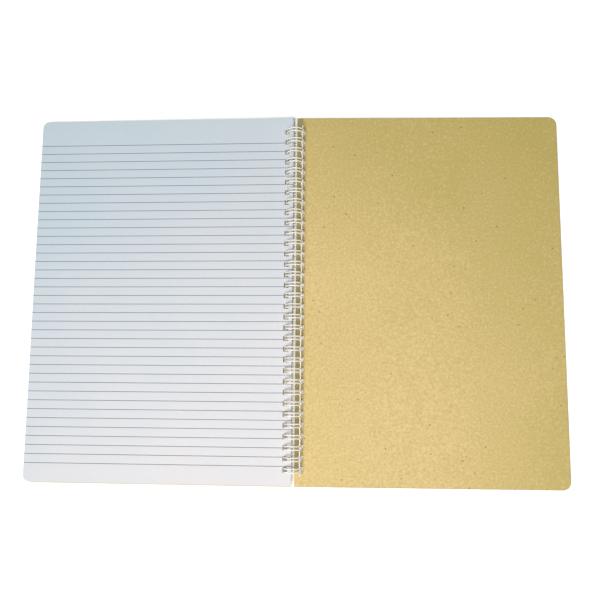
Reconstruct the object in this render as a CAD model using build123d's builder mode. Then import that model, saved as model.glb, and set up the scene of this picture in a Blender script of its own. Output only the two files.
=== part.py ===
from build123d import *
import math
import os

# A wire-bound notebook lying open on a table at its last page. The ring of the
# binding runs along Y through X = 0, and the head of the page is towards +Y. The
# turned sheets and the front board lie on the left, the back board on the right.

# Sheets and boards
sheet_width = 210.0
sheet_height = 295.0
pile_thickness = 3.3
board_width = 211.5
board_height = 297.0
board_thickness = 0.9
corner_radius = 6.5

# Punching: square holes, three to the inch
hole_pitch = 25.4 / 3
hole_count = 33
hole_size = 4.0
hole_corner_radius = 0.3
hole_margin = 4.8  # spine edge to the middle of a hole

# Twin-loop wire
wire_diameter = 1.0
ring_inner_diameter = 12.7
loop_width = 2.5  # between the two wires of one loop, middle to middle
link_bend_radius = 1.6
link_angle = 34.0  # place of the seam on the ring, up from +X
tip_gap = 0.4  # how far a loop's tip stops short of the line of the links

# How the leaves sit on the ring
board_depth = 3.6  # ring's middle down to a board's middle plane
board_slack = 0.2  # outward play of the boards on the wire
sheet_slack = 0.8  # outward play of the sheets on the wire

ring_radius = (ring_inner_diameter + wire_diameter) / 2
ring_height = ring_radius + wire_diameter / 2  # the ring stands on the table

# Where a leaf's holes lie across the ring, out from the middle, at a given height
board_reach = math.sqrt(ring_radius**2 - board_depth**2)
board_spine = board_reach + board_slack - hole_margin
board_edge = board_spine + board_width
sheet_spine = sheet_slack - hole_margin  # a sheet's spine edge, out from the ring's arc
board_bottom = -(board_depth + board_thickness / 2)
board_top = board_bottom + board_thickness
pile_bottom = board_top
pile_top = pile_bottom + pile_thickness

# Each leaf droops until the lower outer edge of its board touches the table
droop = math.degrees(
    math.asin(ring_height / math.hypot(board_edge, board_bottom))
    - math.atan2(-board_bottom, board_edge)
)

# Leaf planes through the ring's middle: x runs outward, z is the leaf's upward normal
left_leaf = Plane((0, 0, ring_height), x_dir=(-1, 0, 0), z_dir=(0, 0, 1)).rotated((0, -droop, 0))
right_leaf = Plane((0, 0, ring_height), x_dir=(1, 0, 0), z_dir=(0, 0, 1)).rotated((0, droop, 0))

os.makedirs("parts", exist_ok=True)


def rounded_leaf(spine, width, height):
    """Outline of one leaf: square at the spine, with rounded outer corners."""
    with Locations((spine + width / 2, 0)):
        Rectangle(width, height)
    fillet(vertices().sort_by(Axis.X)[-2:], corner_radius)


def punched_board():
    """Outline of one board with its row of holes."""
    rounded_leaf(board_spine, board_width, board_height)
    with Locations((board_spine + hole_margin, 0)):
        with GridLocations(0, hole_pitch, 1, hole_count):
            RectangleRounded(hole_size, hole_size, hole_corner_radius, mode=Mode.SUBTRACT)


def ring_curve(offset, start, end):
    """The ring's own arc between two heights, moved outward by offset."""
    points = []
    for height in (start, (start + end) / 2, end):
        points.append((math.sqrt(ring_radius**2 - height**2) + offset, height))
    return ThreePointArc(*points)


def between_ring_curves(inner, outer):
    """Section of the pile between two copies of the ring's arc."""
    with BuildLine() as outline:
        far = ring_curve(outer, pile_bottom, pile_top)
        near = ring_curve(inner, pile_bottom, pile_top)
        Line(near @ 0, far @ 0)
        Line(near @ 1, far @ 1)
    make_face(outline.edges())


with BuildPart() as back_cover:
    with BuildSketch(right_leaf.offset(board_bottom)):
        punched_board()
    extrude(amount=board_thickness)

with BuildPart() as front_cover:
    with BuildSketch(left_leaf.offset(board_bottom)):
        punched_board()
    extrude(amount=board_thickness)

# The leaf's own section plane: x runs outward and y up, at a distance along the spine
section = Plane(left_leaf.origin, x_dir=left_leaf.x_dir, z_dir=(0, 1, 0))

# One punched hole through the whole pile
with BuildPart() as channel:
    with BuildSketch(section):
        between_ring_curves(sheet_slack - hole_size / 2, sheet_slack + hole_size / 2)
    extrude(amount=hole_size / 2, both=True)

with BuildPart() as page_block:
    with BuildSketch(section):
        between_ring_curves(sheet_spine, sheet_spine + sheet_width)
    extrude(amount=sheet_height / 2, both=True)
    with BuildSketch(left_leaf.offset(pile_bottom)):
        rounded_leaf(sheet_spine, ring_radius + sheet_width, sheet_height)
    extrude(amount=pile_thickness, mode=Mode.INTERSECT)
    with GridLocations(0, hole_pitch, 1, hole_count):
        add(channel.part, mode=Mode.SUBTRACT)


def on_ring(arc, y):
    """Point at an arc length past the loops' root, and its unit tangent."""
    angle = math.radians(link_angle) + (arc + link_bend_radius) / ring_radius
    point = Vector(ring_radius * math.cos(angle), y, ring_height + ring_radius * math.sin(angle))
    tangent = Vector(-math.sin(angle), 0, math.cos(angle))
    return point, tangent


circumference = 2 * math.pi * ring_radius
tip_start = circumference - link_bend_radius - tip_gap - loop_width / 2
half_loop = loop_width / 2
diagonal = math.sqrt(0.5)  # share of a bend's radius at the middle of its quarter circle


def half_loop_path(side):
    """From the middle of a link, round its bend and along the ring to the loop's tip."""
    root, along = on_ring(0, side * half_loop)
    bend_middle = root + Vector(0, side * link_bend_radius, 0)
    link_end = bend_middle - along * link_bend_radius
    bend_halfway = (
        bend_middle
        - along * link_bend_radius * diagonal
        - Vector(0, side * link_bend_radius * diagonal, 0)
    )
    link_middle = Vector(link_end.X, side * hole_pitch / 2, link_end.Z)
    over_top, _ = on_ring(tip_start / 2, side * half_loop)
    tip_side, _ = on_ring(tip_start, side * half_loop)
    Line(link_middle, link_end)
    ThreePointArc(link_end, bend_halfway, root)
    ThreePointArc(root, over_top, tip_side)
    return link_middle, tip_side


with BuildPart() as loop:
    with BuildLine() as loop_path:
        start, first_side = half_loop_path(-1)
        tip_middle, tip_tangent = on_ring(tip_start, 0)
        _, second_side = half_loop_path(1)
        ThreePointArc(first_side, tip_middle + tip_tangent * half_loop, second_side)
    with BuildSketch(Plane(start, z_dir=(0, 1, 0))):
        Circle(wire_diameter / 2)
    sweep(path=loop_path.wires()[0])

with BuildPart() as wire_binding:
    with GridLocations(0, hole_pitch, 1, hole_count):
        add(loop.part)

back_cover.part.label = "back_cover"
front_cover.part.label = "front_cover"
page_block.part.label = "page_block"
wire_binding.part.label = "wire_binding"
export_step(back_cover.part, "parts/back_cover.step")
export_step(front_cover.part, "parts/front_cover.step")
export_step(page_block.part, "parts/page_block.step")
export_step(wire_binding.part, "parts/wire_binding.step")
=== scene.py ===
from math import asin, atan2, cos, hypot, pi, radians, sin

import bpy
import numpy as np
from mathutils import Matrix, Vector


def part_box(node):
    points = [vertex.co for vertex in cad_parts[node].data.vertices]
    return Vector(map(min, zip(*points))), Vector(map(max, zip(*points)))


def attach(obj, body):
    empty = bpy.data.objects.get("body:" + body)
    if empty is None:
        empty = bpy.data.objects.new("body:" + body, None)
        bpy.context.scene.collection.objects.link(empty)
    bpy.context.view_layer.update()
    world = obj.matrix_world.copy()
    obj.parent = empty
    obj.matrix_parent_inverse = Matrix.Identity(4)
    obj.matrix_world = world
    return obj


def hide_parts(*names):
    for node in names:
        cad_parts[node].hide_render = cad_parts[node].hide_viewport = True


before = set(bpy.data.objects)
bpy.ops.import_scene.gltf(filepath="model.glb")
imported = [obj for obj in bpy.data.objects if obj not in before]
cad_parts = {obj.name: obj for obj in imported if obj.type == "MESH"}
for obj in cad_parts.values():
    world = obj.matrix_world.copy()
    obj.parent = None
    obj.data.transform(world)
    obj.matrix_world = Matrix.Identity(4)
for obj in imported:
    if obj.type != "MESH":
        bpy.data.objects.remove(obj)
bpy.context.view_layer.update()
mm = 0.001
seeds = np.random.default_rng(7)

leaf = {
    "boardDepth": 3.6 * mm,      # ring's middle down to a board's middle plane
    "boardThickness": 0.9 * mm,
    "boardWidth": 211.5 * mm,
    "boardSlack": 0.2 * mm,
    "pileThickness": 3.3 * mm,
    "sheetWidth": 210.0 * mm,
    "sheetHeight": 295.0 * mm,
    "sheetSlack": 0.8 * mm,
    "boardCorner": 6.5 * mm,
    "sheetCorner": 5.2 * mm,
    "holePitch": 25.4 / 3 * mm,
    "holeCount": 33,
    "holeSize": 4.0 * mm,
    "holeMargin": 4.8 * mm,      # spine edge to the middle of a hole
    # width of the painted shade along the boards' outer, head and foot edges
    "edgeShadeBorder": 0.8 * mm,
}
wireRadius = 0.5 * mm
wireLow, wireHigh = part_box("wire_binding")
boardLow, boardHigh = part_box("back_cover")
ringHeight = (wireLow.z + wireHigh.z) / 2
ringRadius = (wireHigh.z - wireLow.z) / 2 - wireRadius
boardHeight = boardHigh.y - boardLow.y
boardBottom = -(leaf["boardDepth"] + leaf["boardThickness"] / 2)
boardTop = boardBottom + leaf["boardThickness"]
boardSpine = (ringRadius**2 - leaf["boardDepth"]**2)**0.5 + leaf["boardSlack"] - leaf["holeMargin"]
boardEdge = boardSpine + leaf["boardWidth"]
droop = asin(ringHeight / hypot(boardEdge, boardBottom)) - atan2(-boardBottom, boardEdge)
holeRows = (np.arange(leaf["holeCount"]) - (leaf["holeCount"] - 1) / 2) * leaf["holePitch"]


def ontoLeaf(side, out, along, up):
    # x = side (out cos droop + up sin droop), y = along, z = ring height - out sin droop + up cos droop
    x = side * (out * cos(droop) + up * sin(droop))
    z = ringHeight - out * sin(droop) + up * cos(droop)
    return np.stack([x, along + 0 * x, z], axis=-1)


def ringReach(up):
    # how far out the ring lies at a height above its middle: sqrt(radius^2 - up^2)
    return np.sqrt(ringRadius**2 - up**2)


def addMesh(name, points, faces, material, smooth=True):
    mesh = bpy.data.meshes.new(name)
    mesh.from_pydata(points.reshape(-1, 3).tolist(), [], faces)
    mesh.polygons.foreach_set("use_smooth", np.full(len(mesh.polygons), smooth))
    mesh.materials.append(material)
    piece = bpy.data.objects.new(name, mesh)
    bpy.context.scene.collection.objects.link(piece)
    mesh.update()
    return piece


def closedLeafFaces(cells, side):
    # Quads of a closed leaf over a grid of cells: its top, its underside, and a wall wherever
    # a filled cell borders an empty one. Top points come first, then the underside's.
    countA, countB = cells.shape[0] + 1, cells.shape[1] + 1
    index = np.arange(countA * countB).reshape(countA, countB)
    under = index + countA * countB
    i, j = np.nonzero(cells)
    top = np.stack([index[i, j], index[i + 1, j], index[i + 1, j + 1], index[i, j + 1]], axis=1)
    low = np.stack([under[i, j], under[i, j + 1], under[i + 1, j + 1], under[i + 1, j]], axis=1)
    framed = np.pad(cells, 1)
    walls = []
    for stepA, stepB in ((1, 0), (-1, 0), (0, 1), (0, -1)):
        i, j = np.nonzero(cells & ~framed[1 + stepA:1 + stepA + cells.shape[0],
                                          1 + stepB:1 + stepB + cells.shape[1]])
        startA, startB = i + (stepA > 0) + (stepB > 0), j + (stepB > 0)
        endA, endB = i + (stepA > 0), j + (stepB > 0) + (stepA != 0)
        if stepA < 0:
            startB, endB = endB, startB
        if stepB < 0:
            startA, endA = i, i + 1
        walls.append(np.stack([index[startA, startB], under[startA, startB],
                               under[endA, endB], index[endA, endB]], axis=1))
    walls = np.concatenate(walls)
    quads = np.concatenate([top, low, walls])
    cut = np.concatenate([np.zeros(len(top) + len(low)), np.ones(len(walls))])
    return (quads if side > 0 else quads[:, ::-1]), cut


def leafGrid(width, height, radius, rowsBetween, columns):
    # Distances from the spine edge and along the spine, with lines on every hole's edges, and
    # the filled cells. Columns crowd towards the outer edge, where the corners are round.
    half = leaf["holeSize"] / 2
    margin = leaf["holeMargin"]
    bend = width - radius
    corner = bend + radius * np.sin(np.linspace(0, pi / 2, 7))[1:]
    outs = np.concatenate([[0, margin / 4, margin - half, margin + half, margin + 3 * half],
                           np.linspace(margin + 5 * half, bend, columns), corner])
    lows, highs = holeRows - half, holeRows + half
    alongs = [[-height / 2], np.linspace(leaf["edgeShadeBorder"] - height / 2, lows[0], 6)[:-1]]
    for low, high, following in zip(lows, highs, lows[1:]):
        alongs += [[low], np.linspace(high, following, rowsBetween)[:-1]]
    alongs += [[lows[-1]], np.linspace(highs[-1], height / 2 - leaf["edgeShadeBorder"], 6), [height / 2]]
    alongs = np.concatenate(alongs)
    cells = np.ones((len(outs) - 1, len(alongs) - 1), bool)
    middles = (alongs[1:] + alongs[:-1]) / 2
    punched = np.abs(middles[:, None] - holeRows[None, :]).min(1) < half
    cells[2, punched] = False
    return outs, alongs, cells


def roundCorners(outs, alongs, width, height, radius):
    # Beyond the last hole, rows close in so that the leaf ends on a quarter circle:
    # the end at x is height/2 - r + sqrt(r^2 - (x - (width - r))^2).
    past = np.clip(outs - (width - radius), 0, radius)
    ends = height / 2 - radius + np.sqrt(np.maximum(radius**2 - past**2, 0))
    last = holeRows[-1] + leaf["holeSize"] / 2
    beyond = np.clip((np.abs(alongs) - last) / (height / 2 - last), 0, None)
    straight = np.minimum(np.abs(alongs), last)
    return np.sign(alongs) * (straight + beyond * (ends[:, None] - last))


def newMaterial(name):
    material = bpy.data.materials.new(name)
    material.use_nodes = True
    nodes, links = material.node_tree.nodes, material.node_tree.links
    shader = nodes["Principled BSDF"]
    place = nodes.new("ShaderNodeTexCoord").outputs["Object"]
    return material, nodes, links, shader, place


def setInputs(node, **values):
    for name, value in values.items():
        node.inputs[name.replace("_", " ")].default_value = value


def noiseAt(nodes, links, place, scale, detail=3.0, roughness=0.55, stretch=(1, 1, 1), turn=0.0):
    mapping = nodes.new("ShaderNodeMapping")
    mapping.inputs["Scale"].default_value = stretch
    mapping.inputs["Rotation"].default_value = (0, 0, turn)
    links.new(place, mapping.inputs["Vector"])
    noise = nodes.new("ShaderNodeTexNoise")
    setInputs(noise, Scale=scale, Detail=detail, Roughness=roughness)
    links.new(mapping.outputs["Vector"], noise.inputs["Vector"])
    return noise.outputs["Fac"]


def ramp(nodes, links, value, low, high, start=0.0, end=1.0):
    node = nodes.new("ShaderNodeMapRange")
    node.interpolation_type = "SMOOTHSTEP"
    for slot, number in zip((1, 2, 3, 4), (low, high, start, end)):
        node.inputs[slot].default_value = number
    links.new(value, node.inputs[0])
    return node.outputs[0]


def mathNode(nodes, links, operation, first, second=None):
    node = nodes.new("ShaderNodeMath")
    node.operation = operation
    for slot, value in ((0, first), (1, second)):
        if value is None:
            continue
        if isinstance(value, (int, float)):
            node.inputs[slot].default_value = value
        else:
            links.new(value, node.inputs[slot])
    return node.outputs[0]


def blendColour(nodes, links, factor, first, second, mode="MIX"):
    node = nodes.new("ShaderNodeMix")
    node.data_type = "RGBA"
    node.blend_type = mode
    if isinstance(factor, (int, float)):
        node.inputs[0].default_value = factor
    else:
        links.new(factor, node.inputs[0])
    for slot, value in ((6, first), (7, second)):
        if isinstance(value, tuple):
            node.inputs[slot].default_value = (*value, 1)
        else:
            links.new(value, node.inputs[slot])
    return node.outputs[2]


def addBump(nodes, links, shader, height, strength, distance):
    bump = nodes.new("ShaderNodeBump")
    setInputs(bump, Strength=strength, Distance=distance)
    links.new(height, bump.inputs["Height"])
    links.new(bump.outputs["Normal"], shader.inputs["Normal"])


def attributeValue(nodes, name):
    attribute = nodes.new("ShaderNodeAttribute")
    attribute.attribute_name = name
    return attribute.outputs["Fac"]


ruling = {
    "pitch": 7.0 * mm,
    "lines": 38,
    "first": 126.2 * mm,         # height of the first line above the middle of the page
    "halfWidth": 0.25 * mm,
    "softness": 0.05 * mm,
    "ink": (0.12, 0.155, 0.21),
    # the first paper colour is painted shade at the head's outer corner; paperWarm is the lit paper
    "paperInShade": (0.50, 0.60, 0.665),
    "paperWarm": (0.665, 0.655, 0.675),
    "edgeColour": (0.66, 0.67, 0.68),
}


def drift(nodes, links, place, acrossX, acrossY, low, high):
    # how far a point lies along a slanted line over the leaf: smoothstep of x * acrossX + y * acrossY
    dot = nodes.new("ShaderNodeVectorMath")
    dot.operation = "DOT_PRODUCT"
    dot.inputs[1].default_value = (acrossX, acrossY, 0)
    links.new(place, dot.inputs[0])
    return ramp(nodes, links, dot.outputs["Value"], low, high)


def paperMaterial():
    # paper = painted light, dim and cool at the head's outer corner, brighter and warmer towards the
    # spine and the foot, mottled by clouds and felt-like fibres; ruled lines where y lies within half a
    # line's width of a whole step of the pitch; cut edges banded by z
    material, nodes, links, shader, place = newMaterial("ruledPaper")
    cloud = noiseAt(nodes, links, place, 14, 4)
    # painted light: the paper dims and cools towards the head's outer corner, brightening towards the
    # spine and the foot
    paintedLight = drift(nodes, links, place, 0.75, -1.0, -0.36, 0.16)
    fibre = noiseAt(nodes, links, place, 900, 6, 0.7)
    strands = noiseAt(nodes, links, place, 700, 4, 0.7, (1, 5, 1), radians(24))
    shadeAndTone = mathNode(nodes, links, "ADD", paintedLight, ramp(nodes, links, cloud, 0.3, 0.7, -0.08, 0.08))
    paper = blendColour(nodes, links, shadeAndTone, ruling["paperInShade"], ruling["paperWarm"])
    shade = ramp(nodes, links, mathNode(nodes, links, "ADD", fibre, strands), 0.7, 1.3, 0.965, 1.03)
    paper = blendColour(nodes, links, 1.0, paper, shade, "MULTIPLY")
    # printed lines: the distance from y to the nearest whole step of the pitch
    split = nodes.new("ShaderNodeSeparateXYZ")
    links.new(place, split.inputs[0])
    below = mathNode(nodes, links, "SUBTRACT", ruling["first"], split.outputs["Y"])
    steps = mathNode(nodes, links, "DIVIDE", below, ruling["pitch"])
    nearest = mathNode(nodes, links, "ROUND", steps)
    off = mathNode(nodes, links, "ABSOLUTE", mathNode(nodes, links, "SUBTRACT", steps, nearest))
    away = mathNode(nodes, links, "MULTIPLY", off, ruling["pitch"])
    line = ramp(nodes, links, away, ruling["halfWidth"] - ruling["softness"],
                ruling["halfWidth"] + ruling["softness"], 1, 0)
    inside = mathNode(nodes, links, "MULTIPLY",
                      mathNode(nodes, links, "GREATER_THAN", steps, -0.5),
                      mathNode(nodes, links, "LESS_THAN", steps, ruling["lines"] - 0.5))
    patchy = ramp(nodes, links, fibre, 0.3, 0.7, 0.86, 1.0)
    ink = mathNode(nodes, links, "MULTIPLY", mathNode(nodes, links, "MULTIPLY", line, inside), patchy)
    paper = blendColour(nodes, links, ink, paper, ruling["ink"])
    layers = noiseAt(nodes, links, place, 500, 3, 0.6, (0.1, 0.1, 6))
    edge = blendColour(nodes, links, layers, ruling["edgeColour"], ruling["paperWarm"])
    colour = blendColour(nodes, links, attributeValue(nodes, "cutEdge"), paper, edge)
    links.new(colour, shader.inputs["Base Color"])
    setInputs(shader, Roughness=0.72)
    shader.inputs["Specular IOR Level"].default_value = 0.28
    shader.inputs["Sheen Weight"].default_value = 0.08
    addBump(nodes, links, shader, mathNode(nodes, links, "ADD", fibre, strands), 0.25, 0.00004)
    return material


kraft = {
    # pale is the lit kraft; the olive colour is the same board under painted shade
    "pale": (0.65, 0.497, 0.224),
    "shadedOlive": (0.465, 0.383, 0.118),
    "deep": (0.47, 0.345, 0.105),
    "lightFleck": (0.86, 0.73, 0.42),
    # margin: painted shadow of the wire and the pile on the strip along the spine
    "margin": (0.20, 0.185, 0.09),   # the dim strip under the wire, kept as a colour
    "wireShadowEnd": (5 * mm, 8.5 * mm),
    "wireShadowFoot": (-141 * mm, -133 * mm),
    "wireShadowShare": 0.68,
    # colour of the painted shade along the boards' outer, head and foot edges
    "edgeShade": (0.29, 0.255, 0.165),
    "darkFleck": (0.19, 0.12, 0.05),
    # colour of the cut edges' plies, darkened further as painted shade
    "edgeColour": (0.36, 0.27, 0.12),
}


def kraftMaterial():
    # pulp colour = pale, under painted shade that turns it olive towards the head and the outer edge,
    # darkened by a fine grain and lightened by stray fibres, with a few dark shives, a painted shadow
    # of the wire and the pile within 8.5 mm of the spine and painted shade along the outer, head and
    # foot edges; cut edges show their plies as bands over z, darkened further as painted shade
    material, nodes, links, shader, place = newMaterial("kraftBoard")
    cloud = noiseAt(nodes, links, place, 9, 2)
    mottle = noiseAt(nodes, links, place, 190, 3, 0.6)
    speckle = noiseAt(nodes, links, place, 560, 3, 0.6)
    grain = noiseAt(nodes, links, place, 1300, 3, 0.65)
    fibreA = noiseAt(nodes, links, place, 700, 3, 0.6, (1, 7, 1), radians(20))
    fibreB = noiseAt(nodes, links, place, 700, 3, 0.6, (7, 1, 1), radians(-35))
    # painted shade: the board turns olive towards the head and towards the outer edge
    shadeToHead = drift(nodes, links, place, 0.7, 1.0, -0.04, 0.30)
    shadeToEdge = mathNode(nodes, links, "MULTIPLY", drift(nodes, links, place, 1, -0.1, 0.12, 0.25), 0.75)
    shadeAndTone = mathNode(nodes, links, "ADD",
                    mathNode(nodes, links, "MAXIMUM", shadeToHead, shadeToEdge),
                    ramp(nodes, links, cloud, 0.3, 0.7, -0.12, 0.12))
    base = blendColour(nodes, links, shadeAndTone, kraft["pale"], kraft["shadedOlive"])
    for value, low, high, most in ((mottle, 0.45, 0.75, 0.15), (speckle, 0.45, 0.70, 0.52),
                                   (grain, 0.50, 0.70, 0.48)):
        dark = ramp(nodes, links, value, low, high, 0, most)
        base = blendColour(nodes, links, dark, base, kraft["deep"])
    pale = ramp(nodes, links, speckle, 0.30, 0.48, 0.22, 0)
    base = blendColour(nodes, links, pale, base, kraft["lightFleck"])
    light = ramp(nodes, links, mathNode(nodes, links, "MAXIMUM", fibreA, fibreB), 0.62, 0.74, 0, 0.30)
    base = blendColour(nodes, links, light, base, kraft["lightFleck"])
    fleck = nodes.new("ShaderNodeTexVoronoi")
    setInputs(fleck, Scale=150.0, Randomness=1.0)
    links.new(place, fleck.inputs["Vector"])
    spot = ramp(nodes, links, fleck.outputs["Distance"], 0.06, 0.13, 1, 0)
    chosen = mathNode(nodes, links, "GREATER_THAN", noiseAt(nodes, links, place, 70, 2), 0.55)
    spot = mathNode(nodes, links, "MULTIPLY", spot, mathNode(nodes, links, "MULTIPLY", chosen, 0.75))
    base = blendColour(nodes, links, spot, base, kraft["darkFleck"])
    split = nodes.new("ShaderNodeSeparateXYZ")
    links.new(place, split.inputs[0])
    fromSpine = mathNode(nodes, links, "ABSOLUTE", split.outputs["X"])
    # painted shadow of the wire and the pile, 5 to 8.5 mm from the spine, fading out below the lowest
    # loop at the foot
    margin = mathNode(nodes, links, "MULTIPLY",
                      ramp(nodes, links, fromSpine, *kraft["wireShadowEnd"], kraft["wireShadowShare"], 0),
                      ramp(nodes, links, split.outputs["Y"], *kraft["wireShadowFoot"]))
    base = blendColour(nodes, links, margin, base, kraft["margin"])
    # painted shade along the outer, head and foot edges, in patches
    edgeShading = attributeValue(nodes, "edgeShade")
    edgeShading = mathNode(nodes, links, "MULTIPLY", edgeShading, ramp(nodes, links, mottle, 0.3, 0.6, 0.4, 0.75))
    base = blendColour(nodes, links, edgeShading, base, kraft["edgeShade"])
    # cut edges: their plies, darkened further as painted shade
    plies = noiseAt(nodes, links, place, 700, 3, 0.6, (0.15, 0.15, 5))
    edge = blendColour(nodes, links, plies, kraft["edgeColour"], kraft["deep"])
    colour = blendColour(nodes, links, attributeValue(nodes, "cutEdge"), base, edge)
    links.new(colour, shader.inputs["Base Color"])
    links.new(ramp(nodes, links, grain, 0.3, 0.7, 0.62, 0.82), shader.inputs["Roughness"])
    shader.inputs["Specular IOR Level"].default_value = 0.3
    height = mathNode(nodes, links, "ADD", speckle, mathNode(nodes, links, "MAXIMUM", fibreA, fibreB))
    addBump(nodes, links, shader, height, 0.5, 0.00007)
    return material


coating = {"pale": (0.86, 0.835, 0.75), "deep": (0.79, 0.755, 0.65)}


def wireMaterial():
    # coating = two creams in soft patches, with a fine grain in its gloss and height
    material, nodes, links, shader, place = newMaterial("coatedWire")
    patches = noiseAt(nodes, links, place, 130, 3)
    fine = noiseAt(nodes, links, place, 1800, 3, 0.6)
    links.new(blendColour(nodes, links, ramp(nodes, links, patches, 0.4, 0.7), coating["pale"],
                          coating["deep"]), shader.inputs["Base Color"])
    links.new(ramp(nodes, links, fine, 0.3, 0.7, 0.24, 0.36), shader.inputs["Roughness"])
    setInputs(shader, Coat_Weight=0.35, Coat_Roughness=0.15)
    addBump(nodes, links, shader, fine, 0.12, 0.00003)
    return material


paper = paperMaterial()
board = kraftMaterial()
wirePaint = wireMaterial()
print("materials ready")


boards = {
    "rowsBetween": 4,
    "columns": 44,
    "edgeRounding": 0.14 * mm,
    "backWarp": 0.35 * mm,
    "frontWarp": 0.0,            # the front board is pressed flat by the pile above it
}


def makeBoard(name, node, side, warp):
    # A flat leaf of even thickness that warps upward a little towards its corners:
    # lift = warp * (out/width)^2 * (1 - (out/width)^8) * (0.5 + 0.5 cos(2 pi along/height + 0.4))
    width, height = leaf["boardWidth"], boardHeight
    radius = leaf["boardCorner"]
    outs, alongs, cells = leafGrid(width, height, radius, boards["rowsBetween"], boards["columns"])
    along = roundCorners(outs, alongs, width, height, radius)
    share = (outs / width)[:, None]
    lift = warp * share**2 * (1 - share**8) * (0.5 + 0.5 * np.cos(2 * pi * along / height + 0.4))
    out = (boardSpine + outs)[:, None]
    points = np.stack([ontoLeaf(side, out, along, boardTop + lift),
                       ontoLeaf(side, out, along, boardBottom + lift)])
    quads, cut = closedLeafFaces(cells, side)
    piece = addMesh(name, points, quads.tolist(), board, smooth=False)
    piece.data.attributes.new("cutEdge", "FLOAT", "FACE").data.foreach_set("value", cut)
    # painted shade along the edges: 1 at the outer, head and foot edges, falling to 0 one border's
    # width inwards
    inward = np.minimum((width - outs)[:, None], height / 2 - np.abs(alongs)) / leaf["edgeShadeBorder"]
    edgeShade = np.tile(np.clip(1 - inward, 0, 1).ravel(), 2)
    piece.data.attributes.new("edgeShade", "FLOAT", "POINT").data.foreach_set("value", edgeShade)
    bevel = piece.modifiers.new("rounded edges", "BEVEL")
    bevel.width = boards["edgeRounding"]
    bevel.segments = 2
    bevel.limit_method = "ANGLE"
    bevel.angle_limit = radians(40)
    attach(piece, node)
    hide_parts(node)


makeBoard("backBoard", "back_cover", 1, boards["backWarp"])
makeBoard("frontBoard", "front_cover", -1, boards["frontWarp"])
print("boards ready")


pile = {
    "sheets": 40,
    "thickness": 0.066 * mm,
    "lowestGap": 0.02 * mm,      # air under the lowest sheet
    "packing": 0.98,             # share of the pile's height that the sheets below the top one fill
    "rowsBetween": 2,
    "columns": 5,
    "topRowsBetween": 4,
    "topColumns": 60,
    "scatterOut": 0.08 * mm,
    "scatterAlong": 0.05 * mm,
    "headOffset": -0.06 * mm,
    "lowerSlack": (-0.60 * mm, -0.05 * mm),  # the pile's play at mid-height, and its rise to the head
    "upperSlack": (-0.45 * mm, 0.65 * mm),   # the same for the top sheet, which lies slightly turned
    "fanning": 60,               # how few of the uppermost sheets follow the top one
    "cornerLift": 1.1 * mm,
    "cockle": 0.16 * mm,
    "edgeLift": 0.7 * mm,        # the uppermost sheets rise this far at their outer edge
    "cornerPower": 40,           # only the top sheet's corner lifts
    "cornerOut": 18 * mm,        # how far the lifted corner reaches out and along the spine
    "cornerAlong": 16 * mm,
    "shortWave": 23 * mm,        # lengths per radian of the cockle and of the wavy outer edge
    "longWave": 61 * mm,
    "edgeWave": 38 * mm,
}


def sheetPoints(level, outs, alongs, shiftOut, shiftAlong):
    # One sheet of the pile. level runs from 0 at the board to 1 at the top. The holes follow the
    # ring, so out = reach(up) + slack - margin + distance. The spine edges stand square, and each
    # sheet is turned a little in its holes: slack = mean + change * along / half height
    # + (ring radius - reach), fading to the even play of the outer edge.
    # up = height in the pile + cockle waves + a lifted corner at the head of the spine
    # + a rise towards the outer edge of the uppermost sheets.
    width, height = leaf["sheetWidth"], leaf["sheetHeight"]
    along = roundCorners(outs, alongs, width, height, leaf["sheetCorner"])
    far = (outs / width)[:, None]
    mix = level**pile["fanning"]
    mean = (1 - mix) * pile["lowerSlack"][0] + mix * pile["upperSlack"][0]
    turn = (1 - mix) * pile["lowerSlack"][1] + mix * pile["upperSlack"][1]
    usable = leaf["pileThickness"] - pile["thickness"] - pile["cockle"] - pile["lowestGap"]
    rise = level if level == 1 else level * pile["packing"]
    up = boardTop + pile["lowestGap"] + pile["thickness"] / 2 + rise * usable
    slack = mean + turn * 2 * along / height + ringRadius - ringReach(up)
    slack = slack + (leaf["sheetSlack"] - pile["scatterOut"] - slack) * far**1.5
    out = ringReach(up) + slack - leaf["holeMargin"] + outs[:, None] + shiftOut
    near = np.exp(-outs[:, None] / pile["cornerOut"])
    waves = 0.5 + 0.28 * np.sin(along / pile["shortWave"] + 2.2 * far)
    waves = waves + 0.22 * np.sin(along / pile["longWave"] - 5 * far + 1)
    corner = np.exp(-((height / 2 - along) / pile["cornerAlong"])**2) * near
    lift = pile["cockle"] * level**2 * waves + pile["cornerLift"] * level**pile["cornerPower"] * corner
    edge = 0.65 + 0.35 * np.cos(along / pile["edgeWave"] - 1)
    lift = lift + pile["edgeLift"] * level**4 * far**4 * edge
    half = pile["thickness"] / 2
    moved = pile["headOffset"] + shiftAlong
    return np.stack([ontoLeaf(-1, out, along + moved, up + lift + half),
                     ontoLeaf(-1, out, along + moved, up + lift - half)])


def makeSheets(name, levels, rowsBetween, columns, scatter):
    outs, alongs, cells = leafGrid(leaf["sheetWidth"], leaf["sheetHeight"], leaf["sheetCorner"],
                                   rowsBetween, columns)
    quads, cut = closedLeafFaces(cells, -1)
    points, faces = [], []
    for order, level in enumerate(levels):
        shiftOut, shiftAlong = seeds.uniform(-1, 1, 2) * scatter
        points.append(sheetPoints(level, outs, alongs, shiftOut * pile["scatterOut"],
                                  shiftAlong * pile["scatterAlong"]).reshape(-1, 3))
        faces.append(quads + order * len(points[0]))
    piece = addMesh(name, np.concatenate(points), np.concatenate(faces).tolist(), paper, smooth=False)
    edges = np.tile(cut, len(levels))
    piece.data.attributes.new("cutEdge", "FLOAT", "FACE").data.foreach_set("value", edges)
    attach(piece, "page_block")
    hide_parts("page_block")


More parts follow.
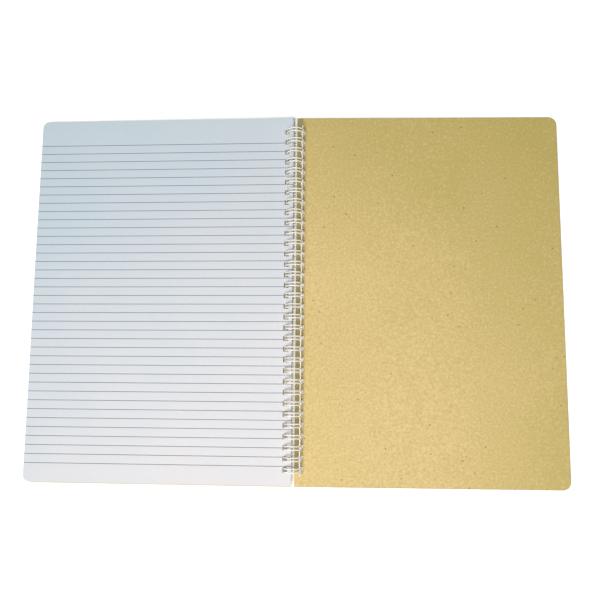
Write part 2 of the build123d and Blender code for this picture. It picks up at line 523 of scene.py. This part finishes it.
levels = np.linspace(0, 1, pile["sheets"])
makeSheets("innerSheets", levels[:-1], pile["rowsBetween"], pile["columns"], 1.0)
makeSheets("topSheet", levels[-1:], pile["topRowsBetween"], pile["topColumns"], 0.0)
print("sheets ready")


wire = {
    "loopWidth": 2.5 * mm,
    "linkBend": 1.6 * mm,
    "linkAngle": radians(34.0),
    "tipGap": 0.4 * mm,
    "seamTwist": radians(5.0),   # the seam's place on the ring changes this much, foot to head
    "seamWander": radians(1.2),
    "loopLean": 0.08 * mm,
    "aroundRing": 72,
    "sides": 14,
}


def loopPath(row, seam, lean):
    # Middle line of one loop from link to link, unrolled on the ring as (arc, along):
    # quarter-circle bends of radius r join the link to the two wires, and a half circle of
    # half the loop's width joins the wires at the tip. The place on the ring is
    # (R cos(seam + arc/R), along, R sin(seam + arc/R)), leaving the ring on its tangent at the bends.
    half, bend = wire["loopWidth"] / 2, wire["linkBend"]
    tipStart = 2 * pi * ringRadius - bend - wire["tipGap"] - half
    quarter = np.linspace(0, pi / 2, 9)
    linkAlong = np.linspace(leaf["holePitch"] / 2, half + bend, 4)[:-1]
    bendArc, bendAlong = -bend * np.cos(quarter), half + bend - bend * np.sin(quarter)
    ringArc = np.linspace(0, tipStart, wire["aroundRing"])[1:-1]
    tip = np.linspace(0, pi, 15)
    arc = np.concatenate([np.full(3, -bend), bendArc, ringArc, tipStart + half * np.sin(tip),
                          ringArc[::-1], bendArc[::-1], np.full(3, -bend)])
    along = np.concatenate([-linkAlong, -bendAlong, np.full(len(ringArc), -half), -half * np.cos(tip),
                            np.full(len(ringArc), half), bendAlong[::-1], linkAlong[::-1]])
    turned = np.clip(arc, 0, tipStart) / ringRadius + seam + bend / ringRadius
    ahead = arc - np.clip(arc, 0, tipStart)
    x = ringRadius * np.cos(turned) - ahead * np.sin(turned)
    z = ringRadius * np.sin(turned) + ahead * np.cos(turned)
    leaning = lean * np.sin(turned - seam) * (arc > 0)
    return np.stack([x, row + along + leaning, ringHeight + z], axis=1)


def sweepTube(path, radius, sides):
    # Round tube: each ring of points is path + radius (normal cos t + side sin t). The normal is
    # the direction away from the ring's axis, with its part along the tangent taken out.
    tangent = np.gradient(path, axis=0)
    tangent /= np.linalg.norm(tangent, axis=1, keepdims=True)
    normal = (path - (0, 0, ringHeight)) * (1, 0, 1)
    normal -= tangent * (normal * tangent).sum(axis=1, keepdims=True)
    normal /= np.linalg.norm(normal, axis=1, keepdims=True)
    sideways = np.cross(tangent, normal)
    turn = np.linspace(0, 2 * pi, sides, endpoint=False)[None, :, None]
    rings = path[:, None] + radius * (normal[:, None] * np.cos(turn) + sideways[:, None] * np.sin(turn))
    count = len(path)
    grid = np.arange(count * sides).reshape(count, sides)
    following = np.roll(grid, -1, axis=1)
    quads = np.stack([grid[:-1], following[:-1], following[1:], grid[1:]], axis=-1).reshape(-1, 4)
    return rings.reshape(-1, 3), quads, grid


def makeWire():
    count = leaf["holeCount"]
    share = np.linspace(0, 1, count) - 0.5
    seams = wire["linkAngle"] - wire["seamTwist"] * share
    seams = seams + wire["seamWander"] * seeds.uniform(-1, 1, count)
    leans = wire["loopLean"] * seeds.uniform(-1, 1, count)
    path = np.concatenate([loopPath(*values) for values in zip(holeRows, seams, leans)])
    apart = np.linalg.norm(np.diff(path, axis=0), axis=1)
    path = path[np.append(True, apart > 0.02 * mm)]
    points, quads, grid = sweepTube(path, wireRadius, wire["sides"])
    caps = [grid[0][::-1].tolist(), grid[-1].tolist()]
    piece = addMesh("wireLoops", points, quads.tolist() + caps, wirePaint)
    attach(piece, "wire_binding")
    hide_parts("wire_binding")


makeWire()
print("wire ready")


stage = {
    "floorHalf": 8.0,
    "floorColour": (0.96, 0.96, 0.96),
    "floorGlow": 0.16,
    "ambient": (0.238, 0.243, 0.25),
    "backdrop": (0.86, 0.87, 0.88),
}


def makeStage():
    half = stage["floorHalf"]
    corners = np.array([(-half, -half, 0), (half, -half, 0), (half, half, 0), (-half, half, 0)])
    material, nodes, links, shader, place = newMaterial("paleFloor")
    setInputs(shader, Base_Color=(*stage["floorColour"], 1), Roughness=0.9)
    shader.inputs["Emission Color"].default_value = (1, 1, 1, 1)
    shader.inputs["Emission Strength"].default_value = stage["floorGlow"]
    floor = addMesh("floor", corners, [(0, 1, 2, 3)], material)
    # the studio's walls look pale behind the table, and give a dimmer, even light
    world = bpy.data.worlds.new("studio")
    world.use_nodes = True
    nodes, links = world.node_tree.nodes, world.node_tree.links
    seen = nodes.new("ShaderNodeLightPath").outputs["Is Camera Ray"]
    walls = blendColour(nodes, links, seen, stage["ambient"], stage["backdrop"])
    links.new(walls, nodes["Background"].inputs[0])
    bpy.context.scene.world = world


def addLight(name, place, aim, size, power, colour):
    data = bpy.data.lights.new(name, "AREA")
    data.shape = "DISK"
    data.size = size
    data.energy = power
    data.color = colour
    light = bpy.data.objects.new(name, data)
    light.location = place
    light.rotation_euler = (Vector(aim) - Vector(place)).to_track_quat("-Z", "Y").to_euler()
    bpy.context.scene.collection.objects.link(light)


makeStage()
addLight("key", (-0.55, -1.05, 2.7), (0, 0, 0), 1.1, 56, (1.0, 0.985, 0.965))
addLight("fill", (-0.03, -0.22, 0.52), (0.0, -0.07, 0), 0.4, 1.3, (1.0, 0.95, 0.90))
addLight("head", (-0.5, 0.9, 1.2), (-0.1, 0, 0), 1.0, 1.2, (0.90, 0.96, 1.0))

view = {
    "place": (30.99 * mm, -72.42 * mm, 540.26 * mm),
    "turn": (radians(7.374), radians(2.795), radians(0.127)),
    "lens": 40.66,
    "sensor": 36.0,
}
camera = bpy.data.objects.new("camera", bpy.data.cameras.new("camera"))
camera.data.lens = view["lens"]
camera.data.sensor_width = view["sensor"]
camera.data.clip_start = 0.01
camera.location = view["place"]
camera.rotation_mode = "ZYX"
camera.rotation_euler = view["turn"]
bpy.context.scene.collection.objects.link(camera)
bpy.context.scene.camera = camera
bpy.context.scene.view_settings.view_transform = "Standard"
print("stage ready")
